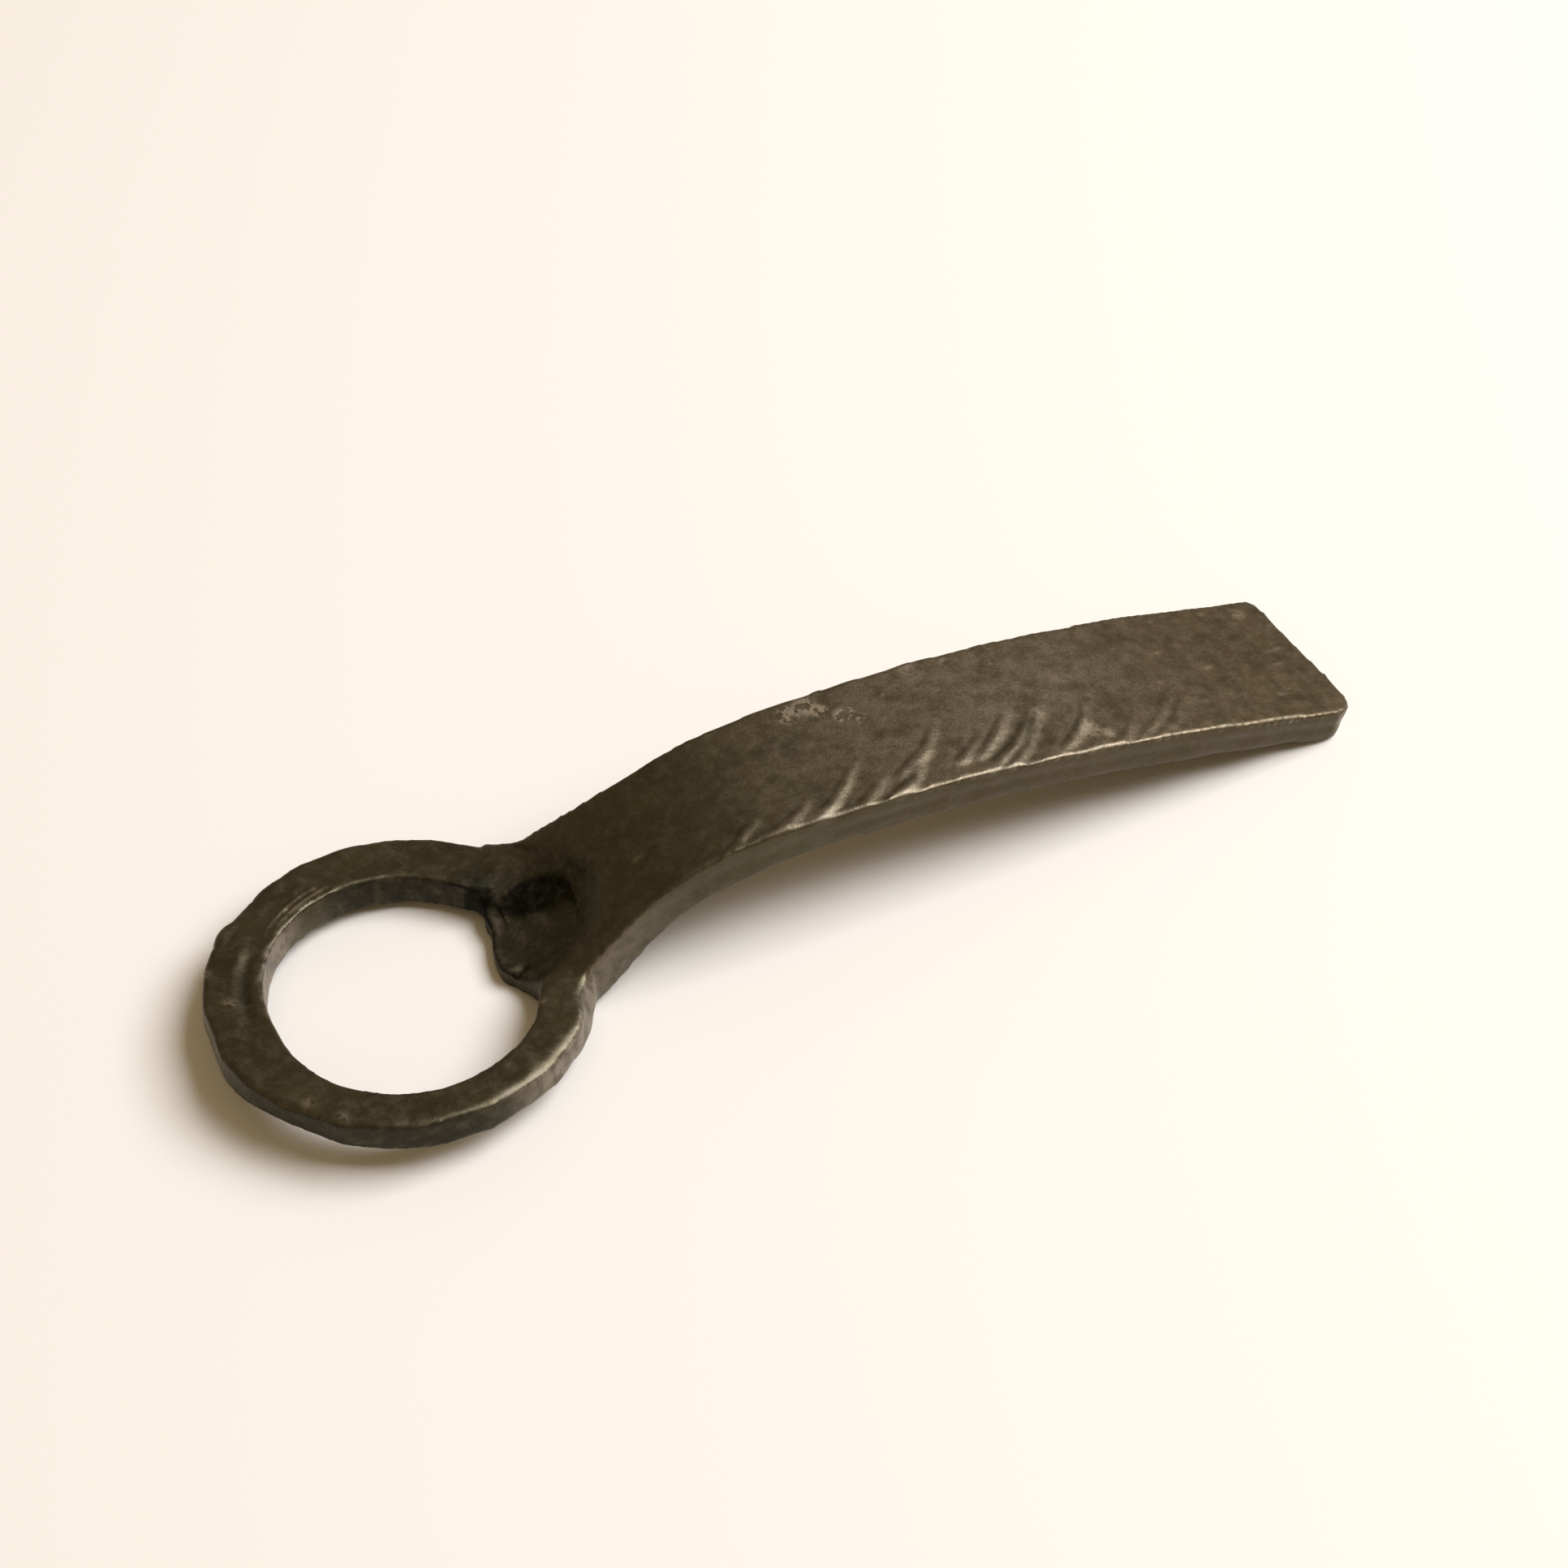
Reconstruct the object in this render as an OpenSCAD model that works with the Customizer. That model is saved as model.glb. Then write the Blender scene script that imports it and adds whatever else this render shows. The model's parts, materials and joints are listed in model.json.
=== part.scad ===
// A hand-forged bottle opener: one bar of steel, with a ring drifted open at one end, a lip set down
// inside the ring, a bent neck and a flattened, arched handle. It is a single forging.
// X runs from the ring to the tip, +Z is up, and the origin is the middle of the bottom of the box
// that holds it. It stands on the underside of its neck and on the lower edge of its tip. Distances
// marked "at" run along X from the ring's centre, and the bar is drawn about the handle's line. Left
// and right are as seen from the ring, looking along the handle, so right is -Y.

/* [Ring] */
// Outer diameter of the ring
ring_d = 46.2; // [42:0.2:52]
// Thickness of the ring
ring_thick = 4.5; // [3.5:0.1:5]
// Width of the hole along the handle
hole_len = 31; // [29:0.2:33]
// Width of the hole across the handle
hole_wide = 34.2; // [33:0.2:37]
// Rise of the ring towards its free end, in degrees
ring_tilt = 3; // [0:0.5:6]
// Twist of the ring about the handle's line, in degrees
ring_twist = 3.5; // [0:0.5:4]
// How far the ring's centre stands to the right of the handle's line
ring_aside = 2; // [0:0.5:3]
// How far the hole's centre stands to the right of the ring's centre
hole_aside = 0.9; // [0:0.1:1.2]

/* [Lip] */
// Distance from the ring's centre to the lip's free edge
lip_reach = 12; // [10:0.2:14]
// Width of the lip's free edge
lip_wide = 11; // [8:0.5:13]
// Thickness of the lip at its lowest point
lip_thick = 2.4; // [1.6:0.1:3]
// Radius of the round punch mark that sets the lip down
punch_r = 8.5; // [7:0.1:9.5]
// Radius of the punch's domed face
punch_dome = 15; // [14:0.5:22]

/* [Neck] */
// Width of the neck at its narrowest
neck_wide = 18; // [15:0.2:20]
// Thickness of the neck, which is the bar's own
neck_thick = 6.2; // [5.5:0.1:7]
// Distance from the ring's centre to the narrowest part of the neck
neck_at = 34.5; // [32:0.5:40]
// Radius of the hollow on the left of the neck
left_hollow_r = 33; // [30:1:60]
// Radius of the hollow on the right of the neck
right_hollow_r = 45; // [30:1:60]
// Radius of the bend where the ring's face turns up into the neck
bend_r = 6; // [4:0.5:9]

/* [Handle] */
// Distance from the ring's centre to the end of the tip
reach = 126; // [120:0.5:135]
// Width of the tip
tip_wide = 22.4; // [20:0.2:25]
// Thickness of the handle at the top of its arch
crest_thick = 5.3; // [4.5:0.1:6]
// Thickness of the handle from the middle to the tip
tip_thick = 4.9; // [4:0.1:5.5]
// Distance from the ring's centre to the top of the arch
crest_at = 49; // [46:0.5:52]
// Radius of the arch on its ring side
rise_r = 43; // [40:1:50]
// Radius of the arch on its tip side
fall_r = 220; // [200:5:260]
// Distance from the ring's centre to where the arch runs out straight
straight_at = 108; // [100:1:115]
// Corner radius of the tip on the left
left_corner_r = 1.6; // [0.5:0.1:4]
// Corner radius of the tip on the right
right_corner_r = 3; // [0.5:0.1:4]
// Angle of the cut end out of square, in degrees
cut_skew = 5; // [0:0.5:6]

/* [Hidden] */
$fn = 96;
// How far the bent bar is worn flat where it stands.
seat = 0.15;
// A length past every surface, for cutting tools.
past = 60;
// Chords in each arc of an outline.
arc_steps = 12;

ring_r = ring_d / 2;
// How much further the tip's longer corner reaches than the middle of its cut end.
corner_reach = tip_wide / 2 * tan(cut_skew) / 2;
// The ring's centre along X, with the origin under the middle of the whole length.
ring_x = -(reach + corner_reach - ring_r) / 2;

// The arch is set by its foot: the tip's lower edge meets z = 0.
fall_angle = asin((straight_at - crest_at) / fall_r);
fall_drop = fall_r * (1 - cos(fall_angle));
tail_drop = (reach - straight_at) * tan(fall_angle);
crest_z = fall_drop + tail_drop + tip_thick * cos(fall_angle) - seat;

// The neck's rise is set by its foot too: the underside of the bend meets z = 0.
bend_foot_z = neck_thick - seat;
rise_angle = acos(1 - (crest_z - bend_foot_z) / (rise_r + bend_r));

// Distances along X from the ring's centre.
rise_at = crest_at - rise_r * sin(rise_angle);
bend_at = rise_at - bend_r * sin(rise_angle);
bend_centre_z = bend_foot_z + bend_r;
face_at = bend_at - bend_r * sin(ring_tilt);
face_z = bend_centre_z - bend_r * cos(ring_tilt);
ring_top_z = face_z + face_at * tan(ring_tilt);

// How far the bar's top falls below the ring's face by the lip, so that the twist leaves no step.
face_sink = 1.5;

// The plan of the neck and handle.
neck_half = neck_wide / 2;
tip_half = tip_wide / 2;
// Where the neck's outline ends inside the ring.
root_at = 16.5;
lip_corner_r = 2.2;
// How far the lip and its punch mark stand to the left of the handle's line.
lip_aside = 1;
punch_aside = 0;
// How far the punch mark reaches past the lip's free edge, and its lowest point past its centre.
punch_over = 3.5;
punch_lean = 4.5;

// Points along an arc, from one angle to another.
function arc(centre, radius, from, to) =
    [for (i = [0 : arc_steps])
        let (a = from + (to - from) * i / arc_steps)
        centre + radius * [cos(a), sin(a)]];

// The top line of the bar, as points with their distance along X, their height, the direction of
// the surface there and the thickness of the bar below it.
function neck_line() =
    [for (i = [0 : arc_steps])
        let (a = -ring_tilt + (rise_angle + ring_tilt) * i / arc_steps)
        [bend_at + bend_r * sin(a), bend_centre_z - bend_r * cos(a), a, neck_thick]];

function rise_line() =
    [for (i = [1 : arc_steps])
        let (a = rise_angle * (1 - i / arc_steps))
        [crest_at - rise_r * sin(a), crest_z - rise_r * (1 - cos(a)), a,
         crest_thick + (neck_thick - crest_thick) * a / rise_angle]];

function fall_line() =
    [for (i = [1 : arc_steps])
        let (a = fall_angle * i / arc_steps)
        [crest_at + fall_r * sin(a), crest_z - fall_r * (1 - cos(a)), -a,
         crest_thick + (tip_thick - crest_thick) * i / arc_steps]];

// The side view runs on a little past the tip, where the cut end takes over.
function tip_line() =
    [[reach + 2, crest_z - fall_drop - tail_drop - 2 * tan(fall_angle), -fall_angle, tip_thick]];

function top_line() = concat(neck_line(), rise_line(), fall_line(), tip_line());

function on_top(p) = [p[0], p[1]];
function below(p) = [p[0] + p[3] * sin(p[2]), p[1] - p[3] * cos(p[2])];
function reversed(list) = [for (i = [len(list) - 1 : -1 : 0]) list[i]];

// The bar seen from the side, from the lip's edge to the tip.
module side_view() {
    line = top_line();
    polygon(concat(
        [[lip_reach, 0], [lip_reach, face_z - face_sink]],
        [for (p = line) on_top(p)],
        [for (p = reversed(line)) below(p)]
    ));
}

// Half the width of the bar, from the neck to the tip.
function half_width(x, hollow_r) =
    x < neck_at
        ? neck_half + hollow_r - sqrt(pow(hollow_r, 2) - pow(neck_at - x, 2))
        : neck_half + (tip_half - neck_half) * sin(90 * (x - neck_at) / (reach - neck_at));

// Half of the bar's outline in plan, from inside the ring to past the tip.
function edge(hollow_r) = concat(
    [for (i = [0 : arc_steps - 1])
        let (x = root_at + (neck_at - root_at) * i / arc_steps)
        [x, half_width(x, hollow_r)]],
    [for (i = [0 : arc_steps])
        let (x = neck_at + (reach + 1 - neck_at) * i / arc_steps)
        [x, half_width(x, hollow_r)]]);

function mirrored(line) = [for (p = line) [p[0], -p[1]]];

// The lip's edge in plan, with its two corners rounded, from left to right.
function lip_edge() = concat(
    reversed(arc([lip_reach + lip_corner_r, lip_aside + lip_wide / 2 - lip_corner_r],
                 lip_corner_r, 180, 120)),
    arc([lip_reach + lip_corner_r, lip_aside - lip_wide / 2 + lip_corner_r],
        lip_corner_r, 180, 240));

// The bar seen from above.
module plan_view() {
    polygon(concat(
        edge(left_hollow_r),
        reversed(mirrored(edge(right_hollow_r))),
        reversed(lip_edge())
    ));
}

// What the chisel leaves at the tip, seen square on to the handle's face: two rounded corners, with
// the left one cut shorter than the right.
module tip_view() {
    cut_back = tip_half * tan(cut_skew);
    polygon(concat(
        [[-past, tip_half + 1]],
        arc([-cut_back - left_corner_r, tip_half - left_corner_r], left_corner_r, 90, 0),
        arc([cut_back - right_corner_r, right_corner_r - tip_half], right_corner_r, 0, -90),
        [[-past, -tip_half - 1]]
    ));
}

// Everything past the tip's cut end.
module tip_waste() {
    translate([reach, 0, crest_z - fall_drop - tail_drop])
        rotate([0, fall_angle, 0])
            linear_extrude(past, center = true)
                difference() {
                    translate([-right_corner_r - left_corner_r, -past / 2]) square([past, past]);
                    tip_view();
                }
}

// The lip, neck and handle: the side view and the plan view together, worn flat where it stands.
module bar() {
    difference() {
        intersection() {
            rotate([90, 0, 0]) linear_extrude(past, center = true) side_view();
            linear_extrude(past) plan_view();
        }
        tip_waste();
    }
}

// Puts something drawn about the ring's centre onto the ring's tilted and twisted face.
module on_ring() {
    translate([0, -ring_aside, ring_top_z])
        rotate([-ring_twist, 0, 0])
            rotate([0, ring_tilt, 0])
                children();
}

// An oval hole: two round ends and the straight part between them.
module hole() {
    spread = (hole_wide - hole_len) / 2;
    translate([0, -hole_aside, 0]) {
        for (side = [-1, 1])
            translate([0, side * spread, 0]) cylinder(d = hole_len, h = past, center = true);
        cube([hole_len, 2 * spread, past], center = true);
    }
}

module ring() {
    on_ring() difference() {
        translate([0, 0, -ring_thick]) cylinder(r = ring_r, h = ring_thick);
        hole();
    }
}

// The mark of the round punch, with a domed face that is lowest at the lip's free edge.
module punch_mark() {
    translate([lip_reach + punch_r - punch_over, punch_aside, 0])
        intersection() {
            cylinder(r = punch_r, h = past);
            translate([-punch_lean, 0, lip_thick + punch_dome]) sphere(r = punch_dome);
        }
}

module opener() {
    color("dimgray")
        translate([ring_x, ring_aside, 0])
            difference() {
                union() {
                    ring();
                    bar();
                }
                punch_mark();
            }
}

opener();
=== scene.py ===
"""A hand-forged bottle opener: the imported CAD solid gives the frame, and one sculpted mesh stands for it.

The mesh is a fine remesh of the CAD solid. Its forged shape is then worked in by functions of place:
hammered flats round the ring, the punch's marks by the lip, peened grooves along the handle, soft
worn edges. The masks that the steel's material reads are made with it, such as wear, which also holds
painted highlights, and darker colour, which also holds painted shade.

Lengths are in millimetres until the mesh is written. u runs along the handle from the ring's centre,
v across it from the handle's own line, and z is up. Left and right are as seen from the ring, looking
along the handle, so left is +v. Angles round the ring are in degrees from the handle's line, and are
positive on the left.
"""

import json
import math

import bpy
import numpy as np
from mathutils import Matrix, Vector, noise


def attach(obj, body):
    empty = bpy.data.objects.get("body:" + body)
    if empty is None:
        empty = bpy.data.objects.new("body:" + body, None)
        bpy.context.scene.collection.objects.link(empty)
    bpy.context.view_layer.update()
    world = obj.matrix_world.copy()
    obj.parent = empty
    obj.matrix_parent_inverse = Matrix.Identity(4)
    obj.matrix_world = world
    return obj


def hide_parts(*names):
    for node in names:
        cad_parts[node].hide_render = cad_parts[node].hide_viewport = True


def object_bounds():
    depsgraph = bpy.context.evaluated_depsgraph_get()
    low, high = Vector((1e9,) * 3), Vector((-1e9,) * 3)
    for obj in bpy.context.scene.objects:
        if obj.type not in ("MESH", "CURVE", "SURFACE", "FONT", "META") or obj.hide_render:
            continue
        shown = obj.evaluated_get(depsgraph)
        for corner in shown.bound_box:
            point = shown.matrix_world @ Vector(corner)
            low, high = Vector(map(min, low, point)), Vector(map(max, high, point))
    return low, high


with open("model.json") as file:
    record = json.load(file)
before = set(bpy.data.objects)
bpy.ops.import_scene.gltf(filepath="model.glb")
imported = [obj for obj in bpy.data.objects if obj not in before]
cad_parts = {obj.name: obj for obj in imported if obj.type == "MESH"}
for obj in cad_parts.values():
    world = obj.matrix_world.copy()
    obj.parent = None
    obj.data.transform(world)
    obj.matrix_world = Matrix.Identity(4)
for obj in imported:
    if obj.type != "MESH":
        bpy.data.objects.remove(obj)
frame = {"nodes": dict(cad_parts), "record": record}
cad_low, cad_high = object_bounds()

# ---------------------------------------------------------------- sizes and places
MM = 0.001
# Size of the remesh's faces.
VOXEL = 0.34
# The ring's radius and thickness, and how far its hole stands to the right of its centre, as in the CAD.
RING_R = 23.1
RING_THICK = 4.5
HOLE_ASIDE = 0.9
# Distance along the handle to the middle of the round punch mark, as in the CAD.
PUNCH_AT = 17

mounts = {m["name"]: m for m in frame["record"]["mounts"]}
handle_y = mounts["underside_of_neck"]["pos_m"][1] / MM
ring_up = np.array(mounts["hanging_ring"]["axis"], float)
ring_up /= np.linalg.norm(ring_up)
ring_along = np.array([1.0, 0.0, 0.0]) - ring_up[0] * ring_up
ring_along /= np.linalg.norm(ring_along)
ring_across = np.cross(ring_up, ring_along)
ring_centre = np.array(mounts["hanging_ring"]["pos_m"]) / MM + HOLE_ASIDE * ring_across

# ---------------------------------------------------------------- small helpers


def smooth(x, start, end):
    """0 up to start, 1 from end, and a smooth rise between them. start may be above end."""
    t = np.clip((x - start) / (end - start), 0, 1)
    return t * t * (3 - 2 * t)


def hump(distance, width):
    """A smooth bump: 1 where the distance is 0, and nearly 0 from twice the width."""
    return np.exp(-((distance / width) ** 2))


def turn(angle, middle):
    """The difference between two angles in degrees, from -180 to 180."""
    return (angle - middle + 180) % 360 - 180


def sector(angle, middle, inner, outer):
    """1 within inner degrees of the middle, and a smooth fall to 0 at outer degrees from it."""
    return 1 - smooth(abs(turn(angle, middle)), inner, outer)


def lumps(points, size, seed, octaves=2):
    """Smooth noise from about -1 to 1, with lumps of that size."""
    shift = Vector((seed * 13.7, seed * 7.9, seed * 3.1))
    return np.array([
        noise.fractal(Vector(p) / size + shift, 1.0, 2.0, octaves) for p in points
    ])


# ---------------------------------------------------------------- the mesh


def fine_copy(source, voxel):
    """A copy of a CAD mesh with small even faces."""
    piece = bpy.data.objects.new("forged_opener", source.data.copy())
    bpy.context.scene.collection.objects.link(piece)
    remesh = piece.modifiers.new("remesh", "REMESH")
    remesh.mode = "VOXEL"
    remesh.voxel_size = voxel * MM
    depsgraph = bpy.context.evaluated_depsgraph_get()
    made = bpy.data.meshes.new_from_object(piece.evaluated_get(depsgraph))
    piece.modifiers.clear()
    piece.data = made
    made.materials.clear()
    return piece


class Clay:
    """The mesh's points as an array, with what sculpting needs: neighbours and normals."""

    def __init__(self, mesh):
        self.mesh = mesh
        count = len(mesh.vertices)
        flat = np.empty(count * 3)
        mesh.vertices.foreach_get("co", flat)
        self.points = flat.reshape(-1, 3) / MM
        edges = np.empty(len(mesh.edges) * 2, int)
        mesh.edges.foreach_get("vertices", edges)
        self.a, self.b = edges.reshape(-1, 2).T
        self.links = np.bincount(self.a, minlength=count) + np.bincount(self.b, minlength=count)
        mesh.calc_loop_triangles()
        triangles = np.empty(len(mesh.loop_triangles) * 3, int)
        mesh.loop_triangles.foreach_get("vertices", triangles)
        self.triangles = triangles.reshape(-1, 3)

    def around(self, values):
        """The mean of each point's neighbours."""
        columns = values.reshape(len(values), -1).T
        sums = [
            np.bincount(self.a, c[self.b], len(c)) + np.bincount(self.b, c[self.a], len(c))
            for c in columns
        ]
        return (np.array(sums) / self.links).T.reshape(values.shape)

    def relax(self, passes):
        """Softens the shape, and takes the shrinkage back."""
        for _ in range(passes):
            self.points += 0.5 * (self.around(self.points) - self.points)
            self.points -= 0.52 * (self.around(self.points) - self.points)

    def melt(self, passes, share):
        """Softens each point by its share and keeps the shrinkage, so that corners fill and round."""
        weight = np.broadcast_to(share, len(self.points))[:, None]
        for _ in range(passes):
            self.points += 0.5 * weight * (self.around(self.points) - self.points)

    def normals(self):
        """Which way the surface faces at each point."""
        p = self.points[self.triangles]
        facing = np.cross(p[:, 1] - p[:, 0], p[:, 2] - p[:, 0])
        total = np.zeros_like(self.points)
        for corner in range(3):
            for axis in range(3):
                total[:, axis] += np.bincount(
                    self.triangles[:, corner], facing[:, axis], len(total)
                )
        return total / np.maximum(np.linalg.norm(total, axis=1), 1e-12)[:, None]

    def faces_up(self, start, end):
        """1 where the surface faces up and 0 where it doesn't. start and end are its normal's heights."""
        return smooth(self.normals()[:, 2], start, end)

    def is_wall(self, start, end):
        """1 where the surface is upright and 0 where it faces up or down, in the same way."""
        return smooth(abs(self.normals()[:, 2]), start, end)

    def push(self, depth):
        """Moves each point along its normal."""
        self.points += self.normals() * depth[:, None]

    def bulge(self, passes):
        """How far each point stands out from its surroundings: positive on edges."""
        spread = self.points
        for _ in range(passes):
            spread = self.around(spread)
        return ((self.points - spread) * self.normals()).sum(1)

    def store(self, **masks):
        """Writes the points, and each mask as an attribute that the material reads."""
        self.mesh.vertices.foreach_set("co", (self.points * MM).ravel())
        for name, values in masks.items():
            attribute = self.mesh.attributes.new(name, "FLOAT", "POINT")
            attribute.data.foreach_set("value", np.clip(values, 0, 1).astype(np.float32))
        self.mesh.polygons.foreach_set("use_smooth", [True] * len(self.mesh.polygons))
        self.mesh.update()


def on_ring(points):
    """Radius, angle in degrees and height of points in the ring's own plane, from its mid-thickness."""
    local = (points - ring_centre) @ np.array([ring_along, ring_across, ring_up]).T
    return (
        np.hypot(local[:, 0], local[:, 1]),
        np.degrees(np.arctan2(local[:, 1], local[:, 0])),
        local[:, 2],
    )


def on_handle(points):
    """Distance along the handle, across it, and height."""
    return points[:, 0] - ring_centre[0], points[:, 1] - handle_y, points[:, 2]


# ---------------------------------------------------------------- sculpting the ring
# Where the hammer left corners round the rim.
RIM_CORNERS = [-170, -158, -144, -126, -104, -82, -60, -44, 44, 60, 75, 90, 105, 119, 139, 154, 168]


def flat_sided(angle, corners):
    """How far a flat-sided rim stands inside its circle, as a share of the radius: 0 at each corner."""
    ends = np.radians(corners + [corners[0] + 360])
    at = np.radians((angle - corners[0]) % 360) + ends[0]
    side = np.clip(np.searchsorted(ends, at, side="right") - 1, 0, len(corners) - 1)
    half = (ends[side + 1] - ends[side]) / 2
    return 1 - np.cos(half) / np.cos(at - ends[side] - half)


def outwards(angle):
    """The direction away from the ring's centre, in its own plane."""
    turned = np.radians(angle)[:, None]
    return np.cos(turned) * ring_along + np.sin(turned) * ring_across


def hammer_rim(clay):
    """Flats round the rim, deeper hollows in places, and a wall that slopes in at the free end's right."""
    radius, angle, height = on_ring(clay.points)
    low_down = smooth(height, RING_THICK / 2, -RING_THICK / 2)
    share = 0.9 - 0.6 * hump(turn(angle, -98), 42)
    move = -share * RING_R * flat_sided(angle, RIM_CORNERS) * smooth(abs(angle), 40, 50)
    move -= 0.35 * hump(turn(angle, 124), 14)
    move += 0.25 * hump(turn(angle, 140), 4)
    move -= (0.15 + 0.75 * low_down) * hump(turn(angle, -139), 19)
    move -= 1.5 * (1 - low_down) * hump(turn(angle, -31), 8)
    move += 0.12 * lumps(clay.points, 5, seed=1)
    rim = smooth(radius, 18.5, 21.5) * (1 - smooth(radius, 25, 27))
    clay.points += (move * rim)[:, None] * outwards(angle)
    clay.melt(5, rim)


def drift_hole(clay):
    """The hole's wall is a little uneven, and opens towards its upper edge."""
    radius, angle, height = on_ring(clay.points)
    opening = 0.15 * smooth(height, 0, RING_THICK / 2) + 0.14 * lumps(clay.points, 4, seed=2)
    wall = (1 - smooth(radius, 17, 19.5)) * smooth(abs(angle), 35, 50)
    clay.points += (opening * wall)[:, None] * outwards(angle)


def bevel_rim(clay):
    """The rim's upper edge is bevelled, wider and softer on the right."""
    radius, angle, height = on_ring(clay.points)
    right_side = hump(turn(angle, -58), 28)
    width = 0.45 + 0.45 * right_side + 0.6 * hump(turn(angle, -139), 20)
    over = height - RING_THICK / 2 + 0.7 * (radius - (RING_R - width))
    clear_of_neck = smooth(abs(angle), 42, 50) * (radius < 26)
    clay.points -= (0.75 * np.maximum(over, 0) * clear_of_neck)[:, None] * ring_up
    clay.melt(8, right_side * clear_of_neck * smooth(radius, 20.5, 21.5))


def fold_waves(radius, angle):
    """Fine ridges beside the hole's left edge, from -1 to 1."""
    near = hump(radius - 17.5, 0.9) * sector(angle, 116, 6, 24)
    return np.sin(radius * 7 + angle / 9) * near


def ring_marks(clay):
    """A step in the ring's face near its free end, where the drift turned the metal over."""
    radius, angle, height = on_ring(clay.points)
    step = -0.3 * hump(radius - 18.1, 0.8) * sector(angle, 163, 10, 26)
    step += 0.16 * hump(radius - 19.5, 0.6) * sector(angle, 154, 6, 20)
    step -= 0.14 * hump(radius - 21.2, 0.4) * sector(angle, 139, 3, 9)
    step += 0.2 * fold_waves(radius, angle)
    clay.points += (step * smooth(height, 1, 2))[:, None] * ring_up


# ---------------------------------------------------------------- sculpting the lip


def soften_dish(clay):
    """The punch mark has a soft rim, and the lip's roots and the two notches by the neck are soft too."""
    u, v, _ = on_handle(clay.points)
    radius, _, _ = on_ring(clay.points)
    clear_of_hole = np.where(abs(v) < 7, smooth(u, 12.6, 14.5), smooth(radius, 16.8, 18.3))
    inside = smooth(np.hypot(u - (PUNCH_AT + 0.5), v), 12.5, 10) * smooth(abs(v), 9.6, 8)
    clay.melt(110, clay.faces_up(-0.2, 0.2) * clear_of_hole * inside)
    left_root, right_root = np.hypot(u - 13.8, v - 7.6), np.hypot(u - 15.3, v + 8)
    clay.melt(40, smooth(np.minimum(left_root, right_root * 0.7), 2.4, 1.2))
    left_notch, right_notch = np.hypot(u - 19.5, v - 13), np.hypot(u - 20, v + 12.5)
    clay.melt(10, smooth(right_notch, 4, 1.5))
    clay.melt(14, smooth(left_notch, 4, 1.5))


def punch_arcs(points):
    """Two curved creases at the handle side of the punch mark, and one where the neck turns up."""
    u, v, _ = on_handle(points)
    from_punch = np.hypot(u - PUNCH_AT, v)
    angle = np.degrees(np.arctan2(v, u - PUNCH_AT))
    inner = hump(from_punch - 6, 0.6) * sector(angle, 25, 40, 75)
    outer = hump(from_punch - 8.2, 0.5) * sector(angle, 14, 14, 32)
    along = (u - 19.9) * 0.52 - (v - 11) * 0.85
    beside = (u - 19.9) * 0.85 + (v - 11) * 0.52
    neck = hump(beside - 0.1 * along, 0.4) * smooth(along, -1.5, 0) * smooth(along, 5.5, 3)
    return inner, outer, neck


def punch(clay):
    """Presses the punch's creases into the upper face."""
    inner, outer, neck = punch_arcs(clay.points)
    clay.points[:, 2] -= (0.28 * inner + 0.16 * outer + 0.3 * neck) * clay.faces_up(0.1, 0.5)


def shape_lip(clay):
    """The lip's edge is drawn back on its left, with a little fold where the punch sheared its right."""
    u, v, _ = on_handle(clay.points)
    clay.points[:, 0] += 1.2 * hump(v - 3.8, 2.8) * smooth(u, 15.5, 13.5) * smooth(u, 5, 9)
    crease = hump(v + 4.6 - 0.35 * (u - 13), 0.5) * smooth(np.hypot(u - 13, v + 4.6), 3, 1.5)
    clay.points[:, 2] -= 0.5 * crease * clay.faces_up(0, 0.4)


# ---------------------------------------------------------------- sculpting the handle
# The cross peen's marks: (start along the handle, start across it, end along, end across, depth, width).
GROOVES = [
    (39.3, -8.8, 45, -5, 0.26, 3),
    (45.8, -9, 51.3, -5.5, 0.26, 2.6),
    (49.5, -10, 59.2, -2.3, 0.34, 3),
    (54, -10.5, 61.6, -5.8, 0.2, 2.8),
    (58.5, -10.8, 68, -4.3, 0.34, 3.4),
    (63, -7, 70.8, -0.4, 0.28, 2.4),
    (70.5, -7.5, 75.5, -3.6, 0.24, 2.2),
    (73, -7.5, 80.4, -1.1, 0.32, 2.4),
    (75, -9, 83, -2.5, 0.34, 2.2),
    (75.4, -11, 85, -1, 0.42, 2.8),
    (84.5, -9.5, 91.5, -1.6, 0.34, 3),
    (92, -10, 97.7, -3.4, 0.18, 2.6),
    (95, -10, 103, -3.1, 0.16, 2.2),
    (96.5, -11, 104.5, -4, 0.18, 2.6),
    (106, -11, 112, -6, 0.1, 2.6),
]


def groove_marks(points):
    """Marks that overlap like shingles: a short wall up, a broad one down, and a slow rise back.

    Returns how far each point is lifted, which is below 0 in the grooves, and how near it is to a
    mark's upper edge, from 0 to 1.
    """
    u, v, _ = on_handle(points)
    sway = 0.3 * lumps(points, 4, seed=3)
    lift, crease = np.zeros(len(u)), np.zeros(len(u))
    for start_u, start_v, end_u, end_v, depth, width in GROOVES:
        run = math.hypot(end_u - start_u, end_v - start_v)
        du, dv = (end_u - start_u) / run, (end_v - start_v) / run
        share = ((u - start_u) * du + (v - start_v) * dv) / run
        beside = (u - start_u) * dv - (v - start_v) * du + sway
        beside -= 0.07 * run * (1 - (2 * share - 1) ** 2)
        fade = smooth(share, -0.15, 0.1) * smooth(share, 1.2, 0.5)
        rise, fall = smooth(beside, -0.7, -0.2), smooth(beside, -0.2, 1.1)
        rise_back = smooth(beside, 1.1, width + 0.5)
        lift += depth * fade * (0.5 * rise - 0.95 * fall + 0.45 * rise_back)
        crease = np.maximum(crease, fade * hump(beside + 0.85, 0.4) * smooth(depth, 0.05, 0.3))
    return lift * smooth(u, 34, 38), crease


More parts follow.
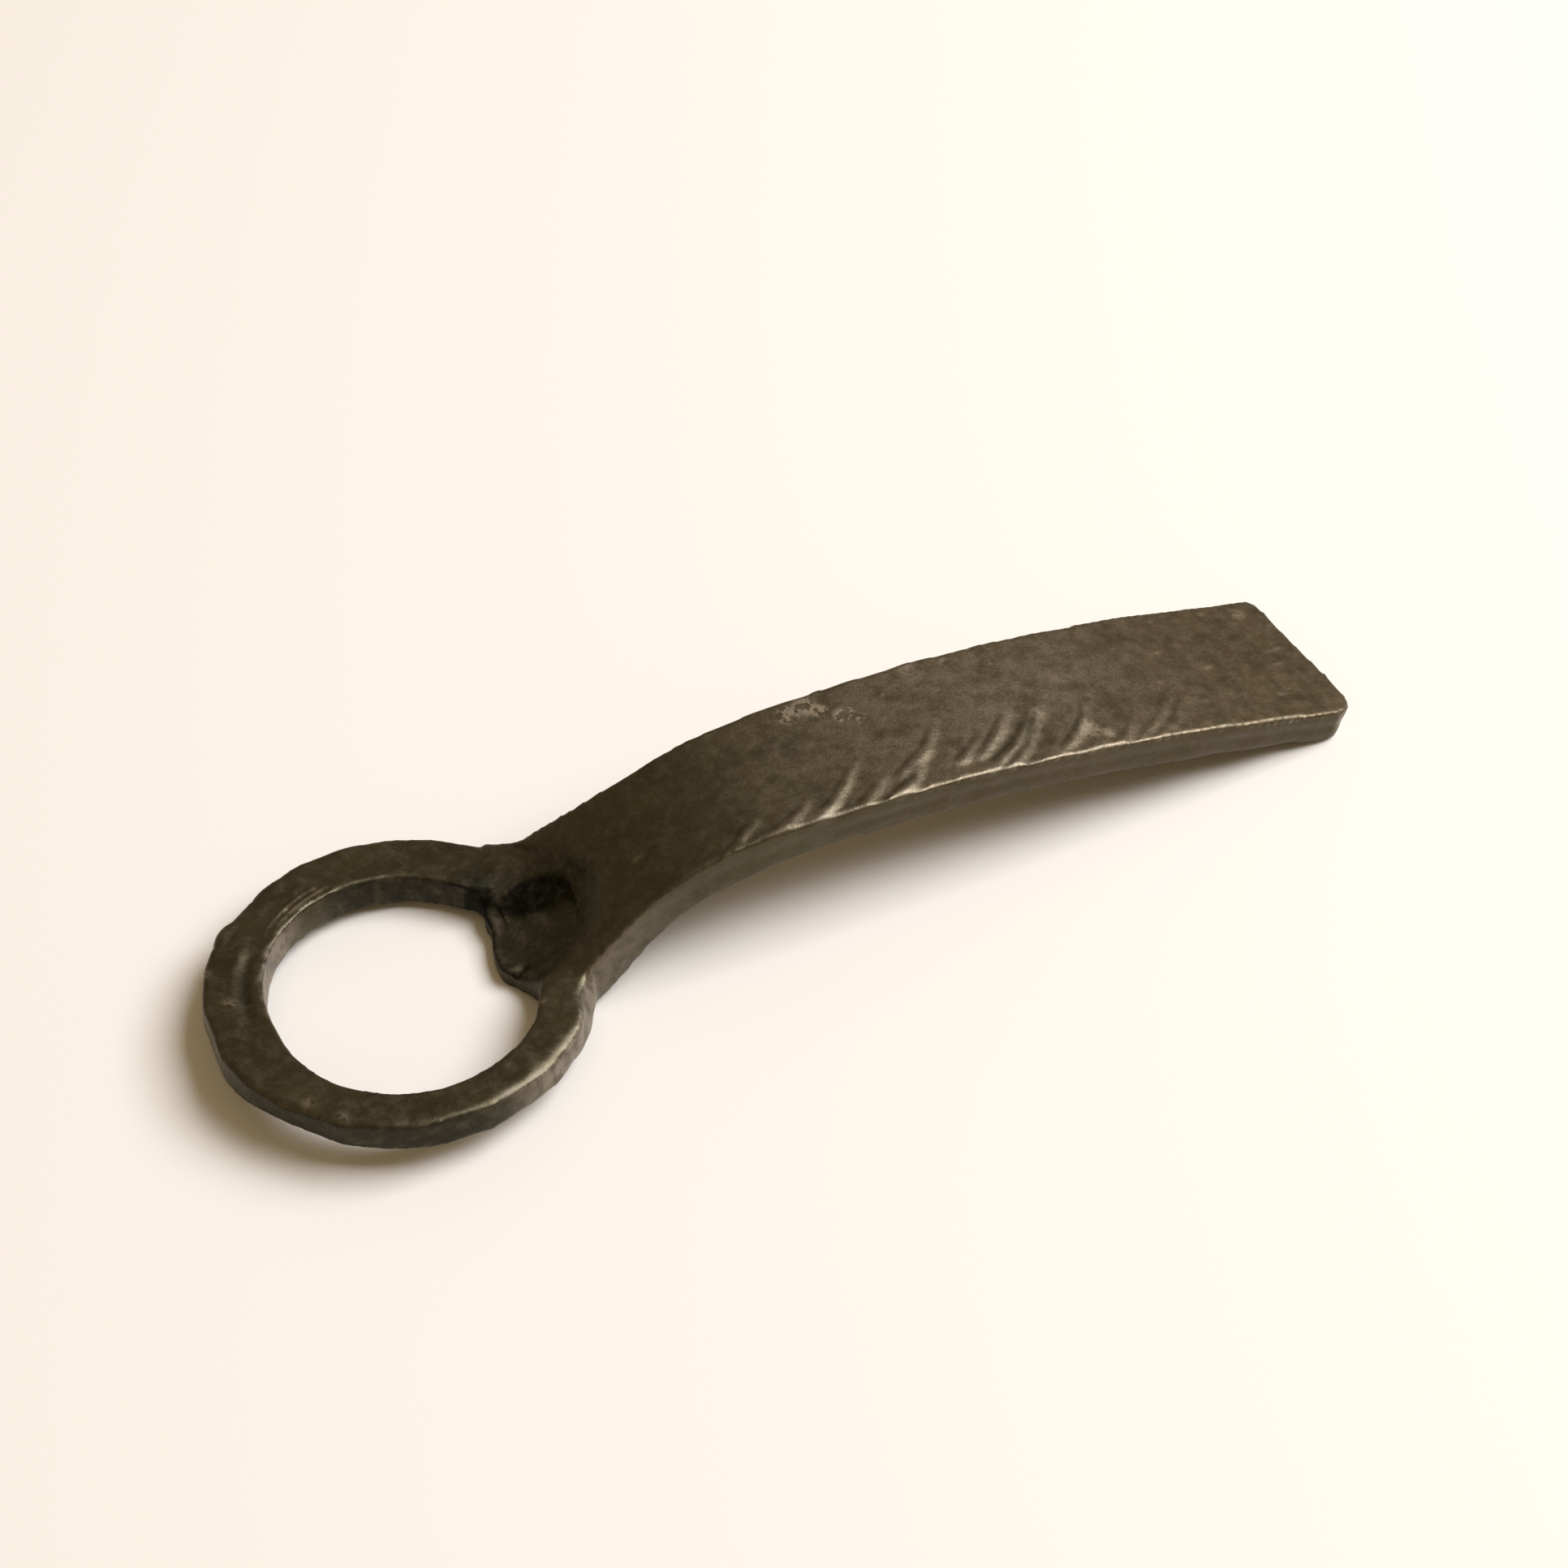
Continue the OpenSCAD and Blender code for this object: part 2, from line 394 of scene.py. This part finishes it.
def peen(clay):
    """Works the cross peen's marks into the handle's upper face."""
    lift, _ = groove_marks(clay.points)
    clay.points[:, 2] += lift * clay.faces_up(0.2, 0.7)


def wavy_sides(clay):
    """The handle's two long sides wander a little, and the left one stands a little fuller."""
    u, v, _ = on_handle(clay.points)
    side = smooth(abs(v), 5, 9) * smooth(u, 24, 34)
    wave = 0.22 * lumps(clay.points, 7, seed=4) + 0.25 * (v > 0)
    clay.points[:, 1] += np.sign(v) * wave * side


def share_of_height(points):
    """How high each point stands in the handle, from 0 at its underside to 1 at its top."""
    u, _, z = on_handle(points)
    # Points are grouped by whole millimetres along the handle.
    place = np.clip(np.round(u - u.min()).astype(int), 0, None)
    top, bottom = np.full(place.max() + 1, -1e9), np.full(place.max() + 1, 1e9)
    np.maximum.at(top, place, z)
    np.minimum.at(bottom, place, z)
    return (z - bottom[place]) / (top - bottom)[place]


def ridged_sides(clay):
    """Two faint ridges along each side of the handle, where the hammer met the bar's edge."""
    u, _, _ = on_handle(clay.points)
    share = share_of_height(clay.points)
    ridges = hump(share - 0.74, 0.13) + hump(share - 0.28, 0.13) - hump(share - 0.5, 0.13)
    side = smooth(abs(clay.normals()[:, 1]), 0.6, 0.9) * smooth(u, 26, 34)
    clay.push(0.07 * ridges * side)


def hammer(clay):
    """Broad shallow dents all over, and finer ones in the forge scale."""
    clay.push(0.1 * lumps(clay.points, 10, seed=5) + 0.04 * lumps(clay.points, 3.2, seed=6))


# ---------------------------------------------------------------- what the material reads
# Dried wax and pale scale on the upper face: (along the handle, across it, size, strength).
WAX = [
    # The large patch by the handle's left edge.
    (54.8, 7.6, 1.6, 1), (57.3, 8.2, 1.7, 1), (58.6, 6.8, 1.2, 1), (61.2, 5, 1.5, 1), (62.8, 3.6, 1.1, 1),
    # Small ones further along the same edge.
    (72, 9.5, 1.6, 0.5), (77, 9.3, 1.3, 0.45), (82.4, 7.2, 1, 0.45), (121, 8.8, 2, 0.5),
    # At the end of the peen's marks.
    (84, -2.8, 1.6, 0.5), (89, -7.2, 2, 0.7), (91, -8.4, 1.2, 0.7),
    # On the ring.
    (-20.6, 7.4, 1, 0.6), (-19.6, 1.8, 1.6, 0.5), (-15.8, -16.2, 1.6, 0.45), (-12.9, -19.6, 1.4, 0.45),
]
# Short scratches and flecks: (along the handle, across it, length, strength).
FLECKS = [
    (65.4, 2.5, 0.9, 0.9), (67.1, 6.3, 0.4, 1), (71.2, 9.6, 0.8, 0.5), (89.2, 2, 1.2, 0.7),
    (96, 8.5, 1, 0.4), (102.5, -1.6, 0.8, 0.7), (105, 3.6, 1.4, 0.8), (106.8, -6, 1.2, 0.6),
    (107.6, 9.6, 0.9, 0.4), (109, 4.8, 1, 0.4), (110.7, -0.2, 1.1, 0.9), (115.6, 9.8, 0.8, 0.9),
    (117.8, -6.6, 0.9, 0.6), (121.3, -1.1, 2, 0.7), (122.2, 1.5, 2.4, 0.7), (124.4, 6.2, 1, 0.5),
    (30.5, -2.4, 1.4, 0.5), (13.8, -12.6, 0.8, 0.6), (-2.5, -19.8, 0.6, 0.5),
]


def wear_and_highlight_mask(clay):
    """Lighter colour: rubbed steel on the edges that hands and caps rub, and painted highlights on the
    rim's right bevel, on the grooves' crests and partly along the handle's right edge.
    """
    u, v, _ = on_handle(clay.points)
    radius, angle, _ = on_ring(clay.points)
    from_right_edge = 8.9 + 0.02 * (u - 35) + v
    # Partly rubbed steel and partly a painted highlight along the handle's right edge.
    handle_edge = smooth(u, 56, 68) * smooth(from_right_edge, 0.6, -0.2)
    hole_edge = smooth(radius, 19.5, 18) * sector(angle, 125, 12, 34)
    rim_edge = smooth(radius, 20, 21.5) * sector(angle, -52, 20, 42) * (u < 22)
    worn = np.clip(0.1 + 0.8 * handle_edge + hole_edge, 0, 1) * smooth(clay.bulge(2), 0.045, 0.1)
    # A painted highlight on the rim's right bevel.
    bevel = 0.35 * rim_edge * smooth(clay.bulge(14), 0.05, 0.4)
    groove_end = 0.5 * hump(np.hypot(u - 51.5, (v + 8.6) * 1.6), 1.4)
    folds = 0.8 * smooth(fold_waves(radius, angle), 0.25, 0.8)
    lift, _ = groove_marks(clay.points)
    # A painted highlight on the grooves' crests.
    crests = 0.1 * smooth(lift, 0.03, 0.12) * clay.faces_up(0.3, 0.6)
    return np.max([worn, bevel, groove_end, folds, crests], axis=0) * clay.faces_up(-0.1, 0.25)


def wax_mask(clay):
    """Round spots of wax and pale scale. The material breaks them up."""
    u, v, _ = on_handle(clay.points)
    mask = np.zeros(len(u))
    for along, across, size, strength in WAX:
        mask = np.maximum(mask, strength * hump(np.hypot(u - along, v - across), size))
    return mask * clay.faces_up(0.3, 0.7)


def fleck_mask(clay):
    """Thin flecks, which lie nearly along the handle."""
    u, v, _ = on_handle(clay.points)
    mask = np.zeros(len(u))
    for along, across, length, strength in FLECKS:
        spot = hump(u - along, length / 1.6) * hump(v - across - 0.12 * (u - along), 0.26)
        mask = np.maximum(mask, strength * spot)
    return mask * clay.faces_up(0.3, 0.7)


def dark_and_shade_mask(clay):
    """Darker colour: the punch mark and its creases, the grooves, a step in the ring's face, the hole's
    left wall and the lip's front wall; and painted shade beside the lip's left root and on the rim's right
    outer wall.
    """
    u, v, _ = on_handle(clay.points)
    radius, angle, _ = on_ring(clay.points)
    inner, outer, neck = punch_arcs(clay.points)
    dish = 0.55 * smooth(np.hypot(u - PUNCH_AT, v - 1), 11.5, 4)
    along, across = 0.93 * (u - 19.5) - 0.37 * (v - 4), 0.37 * (u - 19.5) + 0.93 * (v - 4)
    deepest = 0.75 * hump(np.hypot(along / 5.2, across / 2.1), 1)
    # Painted shade beside the lip's left root.
    lip_left = 0.8 * hump(np.hypot(u - 13, v - 9), 2.4)
    lip_edge = 0.55 * smooth(u, 17, 15.5) * smooth(u, 10, 11.5) * (abs(v) < 8.5)
    marks = dish + deepest + lip_left + 0.35 * inner + 0.3 * outer + 0.5 * neck
    lift, crease = groove_marks(clay.points)
    marks += 0.35 * smooth(lift, -0.08, -0.3) + 0.4 * crease
    step = 0.45 * hump(radius - 18, 1.1) * sector(angle, 163, 8, 24)
    hole = 0.75 * smooth(radius, 18.6, 17.4) * sector(angle, 66, 28, 46)
    # Painted shade on the rim's right outer wall.
    rim = 0.72 * smooth(radius, 20, 21.5) * sector(angle, -120, 32, 56)
    return clay.faces_up(0.1, 0.5) * (marks + step) + clay.is_wall(0.9, 0.6) * (hole + rim + lip_edge)


def bare_mask(clay):
    """Pale steel: the right of the rim and neck, the hole's free end, and the tip's right corner."""
    u, v, _ = on_handle(clay.points)
    radius, angle, _ = on_ring(clay.points)
    rim = smooth(radius, 20, 21) * sector(angle, -42, 16, 40) * (u < 21)
    neck = 0.38 * smooth(u, 36, 20) * smooth(u, 17, 19) * smooth(v, -7.8, -8.8)
    hole = smooth(radius, 19, 17.6) * sector(angle, 158, 20, 46)
    corner = smooth(np.hypot(u - 126.5, v + 10.5), 3, 1.8)
    return clay.is_wall(0.92, 0.6) * np.max([0.85 * rim, neck, hole, corner], axis=0)


piece = fine_copy(frame["nodes"]["opener"], VOXEL)
clay = Clay(piece.data)
for sculpt in (
    hammer_rim, drift_hole, bevel_rim, ring_marks, soften_dish, punch, shape_lip,
    wavy_sides, ridged_sides, peen, hammer,
):
    sculpt(clay)
# The remesh leaves small steps along the edges, so those melt a little more than the rest.
clay.relax(2)
clay.melt(5, smooth(clay.bulge(2), 0.03, 0.09))
clay.push(0.012 * lumps(clay.points, 1.1, seed=7, octaves=3))
# Nothing reaches below the table.
clay.points[:, 2] = np.maximum(clay.points[:, 2], 0)
# The wear mask also holds painted highlights, the dark mask painted shade, and top makes the handle's top
# lighter than its sides as painted light.
clay.store(
    wear=wear_and_highlight_mask(clay), wax=wax_mask(clay), fleck=fleck_mask(clay),
    dark=dark_and_shade_mask(clay), bare=bare_mask(clay), top=clay.faces_up(0.3, 0.8),
)

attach(piece, "root")
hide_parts("opener")

# ---------------------------------------------------------------- material
BROWN_BLACK = (0.06, 0.052, 0.029, 1)
BROWN = (0.092, 0.078, 0.045, 1)
# The handle's top is painted lighter than its sides and the ring, and its sides darker: painted light.
HANDLE_LIT_TOP = (0.2, 0.163, 0.114, 1)
HANDLE_SHADED_SIDE = (0.082, 0.06, 0.032, 1)
OLIVE = (0.125, 0.09, 0.045, 1)
GREY = (0.155, 0.125, 0.088, 1)
# GREEN_BLACK and BLACK also paint shade, beside the lip and on the rim's right outer wall.
GREEN_BLACK = (0.033, 0.031, 0.019, 1)
BLACK = (0.004, 0.004, 0.002, 1)
PALE_SCALE = (0.3, 0.25, 0.18, 1)
BARE = (0.32, 0.27, 0.215, 1)
# Rubbed steel, and the colour of the painted highlights.
RUBBED_AND_HIGHLIGHT = (0.42, 0.37, 0.3, 1)


class Wiring:
    """Adds shader nodes. An input is a number, a colour or another node's output."""

    def __init__(self, tree):
        self.tree = tree

    def node(self, kind, inputs=(), **settings):
        """A node with its settings, and its inputs by name or by place."""
        made = self.tree.nodes.new(kind)
        for name, value in settings.items():
            setattr(made, name, value)
        for name, value in dict(inputs).items():
            if isinstance(value, bpy.types.NodeSocket):
                self.tree.links.new(value, made.inputs[name])
            else:
                made.inputs[name].default_value = value
        return made

    def attribute(self, name):
        """One of the masks that Clay stored."""
        return self.node("ShaderNodeAttribute", attribute_name=name).outputs["Fac"]

    def noise(self, place, size, detail=3, roughness=0.5):
        """Noise whose lumps have that size in millimetres."""
        inputs = {"Vector": place, "Scale": 1 / size, "Detail": detail, "Roughness": roughness}
        return self.node("ShaderNodeTexNoise", inputs).outputs["Fac"]

    def math(self, operation, a, b=0.0, c=0.0):
        """A sum, product or other operation on up to three numbers."""
        return self.node(
            "ShaderNodeMath", {0: a, 1: b, 2: c}, operation=operation
        ).outputs["Value"]

    def vector(self, operation, inputs):
        """An operation on a place."""
        return self.node("ShaderNodeVectorMath", inputs, operation=operation).outputs["Vector"]

    def ramp(self, value, low, high, start=0.0, end=1.0):
        """start at low, end at high, and a smooth rise between them."""
        inputs = {"Value": value, "From Min": low, "From Max": high, "To Min": start, "To Max": end}
        return self.node(
            "ShaderNodeMapRange", inputs, interpolation_type="SMOOTHSTEP"
        ).outputs["Result"]

    def mix(self, share, a, b):
        """Colour a where share is 0 and colour b where it is 1. The node's colours are inputs 6 and 7."""
        return self.node("ShaderNodeMix", {0: share, 6: a, 7: b}, data_type="RGBA").outputs[2]


def forged_steel():
    """Black forge scale, brushed and waxed: brown-black, greyer where it is rubbed, satin all over. Painted
    light is in it too: highlights on some edges, shade on some walls, and a handle top lighter than its
    sides.
    """
    material = bpy.data.materials.new("forged_steel")
    material.use_nodes = True
    tree = material.node_tree
    shader = tree.nodes["Principled BSDF"]
    w = Wiring(tree)
    metres = w.node("ShaderNodeTexCoord").outputs["Object"]
    place = w.vector("SCALE", {0: metres, "Scale": 1 / MM})
    brushed = w.vector("MULTIPLY", {0: place, 1: (0.35, 1, 1)})
    along = w.node("ShaderNodeSeparateXYZ", {"Vector": place}).outputs["X"]

    clouds = w.noise(place, 8, detail=4)
    patches = w.noise(place, 3.6, detail=5, roughness=0.65)
    mottle = w.noise(place, 1.6, detail=5, roughness=0.6)
    grain = w.noise(place, 0.24, detail=2, roughness=0.7)
    streaks = w.noise(brushed, 0.4, detail=4, roughness=0.7)
    squiggle = w.math("ABSOLUTE", w.math("SUBTRACT", w.noise(place, 1.5, roughness=0.6), 0.5))
    wax = w.math("MULTIPLY", w.ramp(w.attribute("wax"), 0.2, 0.7), w.ramp(squiggle, 0.1, 0.04))
    wear = w.math("MULTIPLY", w.attribute("wear"), w.ramp(mottle, 0.3, 0.6, start=0.45))
    dark = w.math("MULTIPLY", w.attribute("dark"), w.ramp(mottle, 0.3, 0.7, start=1.0, end=0.8))
    bare = w.math("MULTIPLY", w.attribute("bare"), w.ramp(mottle, 0.35, 0.6, start=0.2))

    # The scale's colour, from the ring's brown-black to the handle's lighter brown. The handle's top is
    # partly painted light: it is painted lighter than the ring and than the handle's sides.
    colour = w.mix(w.ramp(clouds, 0.35, 0.7), BROWN_BLACK, BROWN)
    handled = w.mix(w.ramp(along, 30, 65, end=0.7), HANDLE_LIT_TOP, OLIVE)
    # Painted light: the handle's sides get a darker colour than its top.
    handled = w.mix(w.attribute("top"), HANDLE_SHADED_SIDE, handled)
    colour = w.mix(w.ramp(along, -25, 20, end=0.9), colour, handled)
    # What varies it, and then what lies on it, from the darkest scale and painted shade to bright steel and
    # painted highlights.
    colour = w.mix(w.ramp(patches, 0.45, 0.65, end=0.5), colour, BROWN_BLACK)
    # The dark mask is partly painted shade, so this mix paints shade too.
    colour = w.mix(w.ramp(dark, 0, 0.5, end=0.85), colour, GREEN_BLACK)
    colour = w.mix(w.ramp(mottle, 0.45, 0.75, end=0.45), colour, GREY)
    colour = w.mix(w.ramp(streaks, 0.5, 0.8, end=0.5), colour, GREY)
    colour = w.mix(w.ramp(grain, 0.62, 0.3, end=0.6), colour, BROWN_BLACK)
    # Partly painted shade, where the dark mask is strongest.
    colour = w.mix(w.ramp(dark, 0.5, 1), colour, BLACK)
    colour = w.mix(w.math("MULTIPLY", bare, 0.9), colour, BARE)
    colour = w.mix(w.math("MULTIPLY", wax, 0.75), colour, PALE_SCALE)
    colour = w.mix(w.math("MULTIPLY", w.attribute("fleck"), 0.8), colour, PALE_SCALE)
    # Rubbed steel and painted highlights.
    colour = w.mix(w.math("MULTIPLY", wear, 0.9), colour, RUBBED_AND_HIGHLIGHT)
    tree.links.new(colour, shader.inputs["Base Color"])

    # Wax and the darker places, the painted shade among them, are duller than the rest, and rubbed steel
    # and the painted highlights are shinier.
    roughness = w.ramp(mottle, 0.3, 0.7, start=0.36, end=0.5)
    roughness = w.math("MULTIPLY_ADD", wax, 0.2, roughness)
    roughness = w.math("MULTIPLY_ADD", dark, 0.2, roughness)
    roughness = w.math("MULTIPLY_ADD", wear, -0.08, roughness)
    tree.links.new(roughness, shader.inputs["Roughness"])
    shader.inputs["Metallic"].default_value = 0.9

    pitting = w.noise(place, 0.5, detail=4, roughness=0.6)
    relief = w.math("MULTIPLY_ADD", pitting, 0.5, w.math("MULTIPLY", mottle, 0.6))
    relief = w.math("MULTIPLY_ADD", streaks, 0.3, relief)
    bump = w.node("ShaderNodeBump", {"Height": relief, "Strength": 0.5, "Distance": 0.12 * MM})
    tree.links.new(bump.outputs["Normal"], shader.inputs["Normal"])
    return material


piece.data.materials.append(forged_steel())

# ---------------------------------------------------------------- floor, light and camera


def floor(size, colour):
    """A square of pale paper, that many metres wide, under the opener."""
    bpy.ops.mesh.primitive_plane_add(size=size, location=(0, 0, cad_low[2]))
    plane = bpy.context.object
    plane.name = "floor"
    material = bpy.data.materials.new("pale_paper")
    material.use_nodes = True
    shader = material.node_tree.nodes["Principled BSDF"]
    shader.inputs["Base Color"].default_value = (*colour, 1)
    shader.inputs["Roughness"].default_value = 0.8
    shader.inputs["Specular IOR Level"].default_value = 0.2
    plane.data.materials.append(material)


def area_light(name, towards, distance, size, power, colour):
    """A square soft light that shines on the origin from a direction. Its lengths are in metres."""
    data = bpy.data.lights.new(name, "AREA")
    data.size = size
    data.energy = power
    data.color = colour
    light = bpy.data.objects.new(name, data)
    light.location = Vector(towards).normalized() * distance
    light.rotation_euler = Vector(towards).to_track_quat("Z", "Y").to_euler()
    bpy.context.scene.collection.objects.link(light)


def room(colour, strength):
    """An even light from all round."""
    world = bpy.data.worlds.new("room")
    world.use_nodes = True
    background = world.node_tree.nodes["Background"]
    background.inputs["Color"].default_value = (*colour, 1)
    background.inputs["Strength"].default_value = strength
    bpy.context.scene.world = world


def camera(azimuth, elevation, distance, target, lens):
    """Looks at target from that far away. Azimuth 0 looks along +Y, and elevation is above the horizon."""
    turned, raised = math.radians(azimuth), math.radians(elevation)
    back = Vector((
        math.sin(turned) * math.cos(raised),
        -math.cos(turned) * math.cos(raised),
        math.sin(raised),
    ))
    data = bpy.data.cameras.new("camera")
    data.lens = lens
    data.sensor_width = 36
    data.clip_start = 0.01
    made = bpy.data.objects.new("camera", data)
    made.location = (Vector(target) + back * distance) * MM
    made.rotation_euler = (math.pi / 2 - raised, 0, turned)
    bpy.context.scene.collection.objects.link(made)
    bpy.context.scene.camera = made


floor(size=6, colour=(0.86, 0.835, 0.79))
area_light(
    "window", towards=(0.59, -0.15, 0.79), distance=1.6, size=1.05, power=32, colour=(1.0, 1.01, 1.05)
)
room(colour=(1.0, 0.75, 0.43), strength=0.33)
camera(azimuth=-25.08, elevation=47.94, distance=362.5, target=(4.6, 13.9, 0), lens=65.2)
bpy.context.scene.view_settings.view_transform = "Standard"
